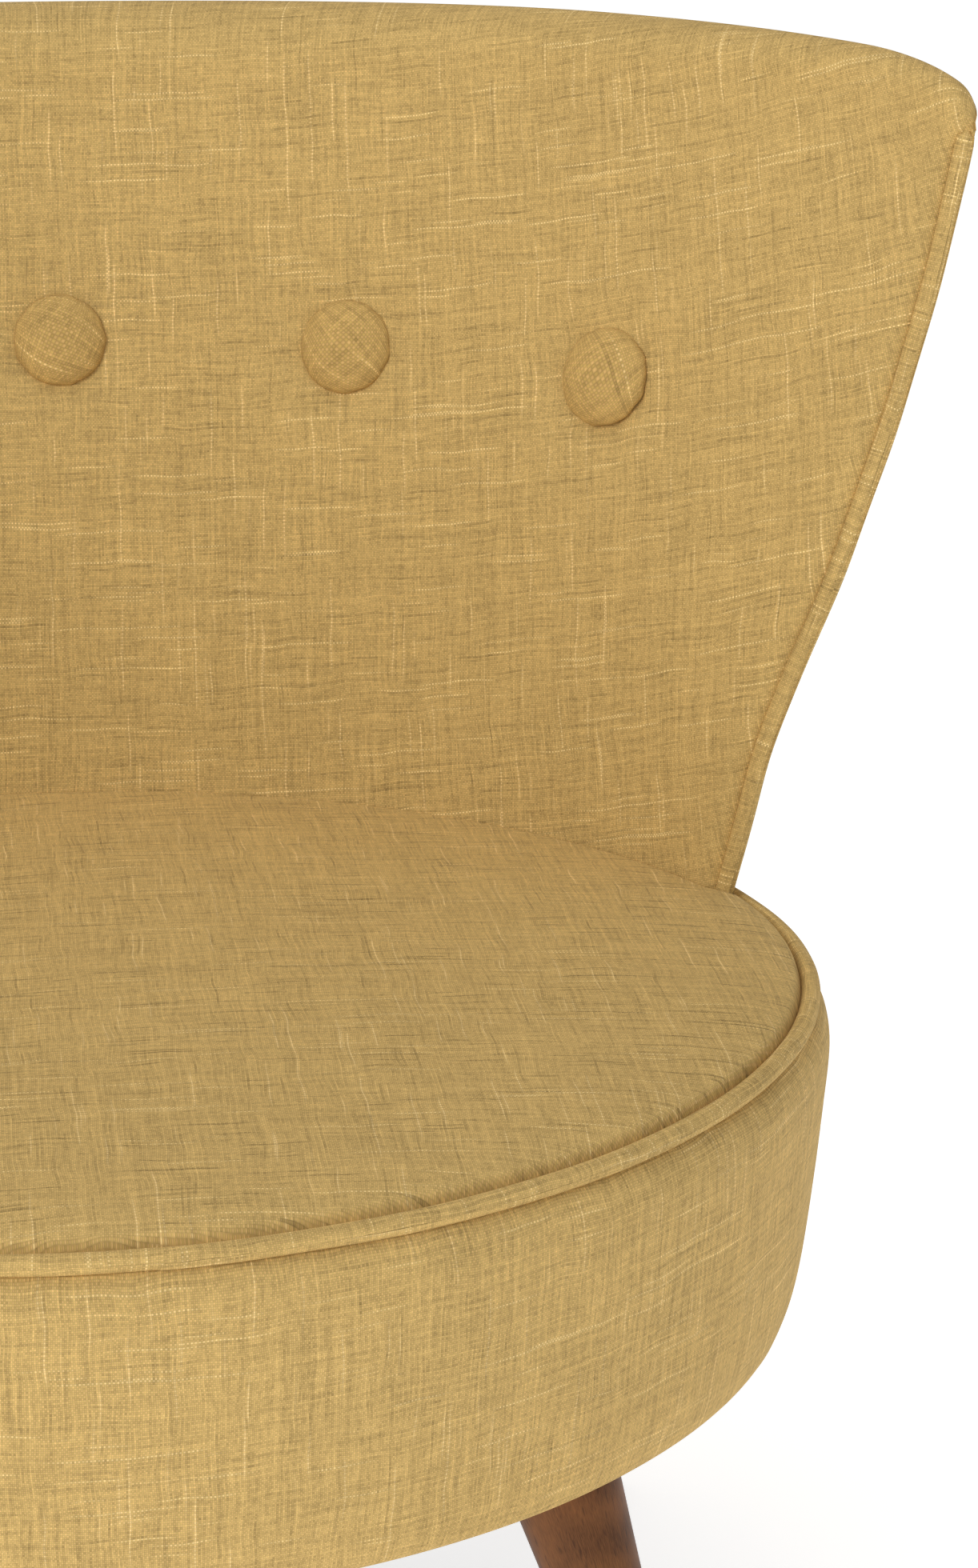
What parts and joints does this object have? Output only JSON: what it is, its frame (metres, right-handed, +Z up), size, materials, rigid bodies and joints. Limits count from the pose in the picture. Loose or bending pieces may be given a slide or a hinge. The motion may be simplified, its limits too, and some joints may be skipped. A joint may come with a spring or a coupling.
{
  "type": "cocktail sofa",
  "caption": "Compact upholstered cocktail sofa with an oval piped seat, a curved flared back with covered buttons, and splayed tapered wooden legs.",
  "frame": {"origin": "on the floor, under the middle of the whole sofa's bounding box", "axes": "+Z up, +X to the right of someone facing the sofa's front, and the seat faces -Y"},
  "size_m": [0.7654, 0.6544, 0.7143],
  "materials": {
    "fabric": "mustard linen-look flat weave with light slubs",
    "leg_wood": "beech stained walnut, satin lacquer",
    "frame_wood": "bare plywood and softwood",
    "fibreboard": "bare fibreboard",
    "foam": "open-cell cushion foam",
    "webbing": "woven elastic webbing",
    "lining": "black non-woven lining",
    "steel": "zinc plated",
    "nylon": "moulded dark nylon"
  },
  "bodies": {
    "root": {"leg_front_left": "leg_wood", "leg_front_right": "leg_wood", "leg_rear_left": "leg_wood", "leg_rear_right": "leg_wood", "glide_front_left": "nylon", "glide_front_right": "nylon", "glide_rear_left": "nylon", "glide_rear_right": "nylon", "hanger_bolt_front_left": "steel", "hanger_bolt_front_right": "steel", "hanger_bolt_rear_left": "steel", "hanger_bolt_rear_right": "steel", "t_nut_front_left": "steel", "t_nut_front_right": "steel", "t_nut_rear_left": "steel", "t_nut_rear_right": "steel", "base_ring": "frame_wood", "upper_ring": "frame_wood", "stud_1": "frame_wood", "stud_2": "frame_wood", "stud_3": "frame_wood", "stud_4": "frame_wood", "stud_5": "frame_wood", "stud_6": "frame_wood", "band_board_front": "fibreboard", "band_board_right": "fibreboard", "band_board_rear": "fibreboard", "band_board_left": "fibreboard", "dust_cover": "lining", "strap_cross_1": "webbing", "strap_cross_2": "webbing", "strap_cross_3": "webbing", "strap_long_1": "webbing", "strap_long_2": "webbing", "strap_long_3": "webbing", "seat_foam": "foam", "seat_top_cover": "fabric", "seat_band": "fabric", "seat_piping": "fabric", "back_bottom_rail": "frame_wood", "back_top_rail": "frame_wood", "post_left": "frame_wood", "post_middle": "frame_wood", "post_right": "frame_wood", "rail_screw_1": "steel", "rail_screw_2": "steel", "rail_screw_3": "steel", "rail_screw_4": "steel", "back_liner": "fibreboard", "back_foam": "foam", "inside_back_cover": "fabric", "outside_back_cover": "fabric", "edge_piping_left": "fabric", "edge_piping_right": "fabric", "button_1": "fabric", "button_2": "fabric", "button_3": "fabric", "button_4": "fabric", "button_5": "fabric"}
  },
  "joints": []
}
